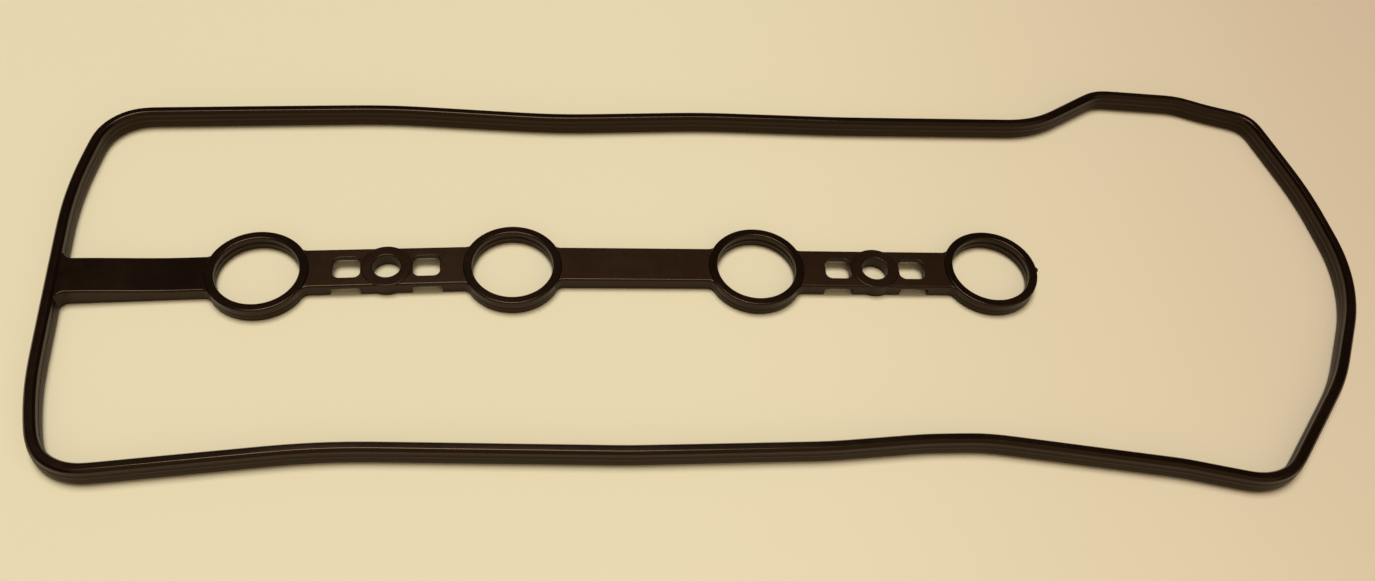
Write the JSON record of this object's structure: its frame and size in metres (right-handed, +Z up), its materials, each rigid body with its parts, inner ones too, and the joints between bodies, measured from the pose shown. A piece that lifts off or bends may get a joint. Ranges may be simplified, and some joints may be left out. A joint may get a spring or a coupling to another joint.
{
  "type": "valve cover gasket",
  "caption": "Moulded rubber gasket for a valve cover: a closed perimeter bead with a tie strip of plug tube rings, bolt bosses and drain slots.",
  "frame": {"origin": "middle of the gasket's footprint, on the surface it lies on", "axes": "+X along the row of plug tube rings, from the tied end to the timing chain end; +Y towards the back rail; +Z up, from the bead's foot to its crest"},
  "size_m": [0.4746, 0.185, 0.008],
  "materials": {
    "moulded_rubber": "dull moulded acrylic or nitrile rubber, brown-black, faintly mottled, with smooth lips"
  },
  "bodies": {
    "root": {"cover_gasket": "moulded_rubber"}
  },
  "joints": []
}
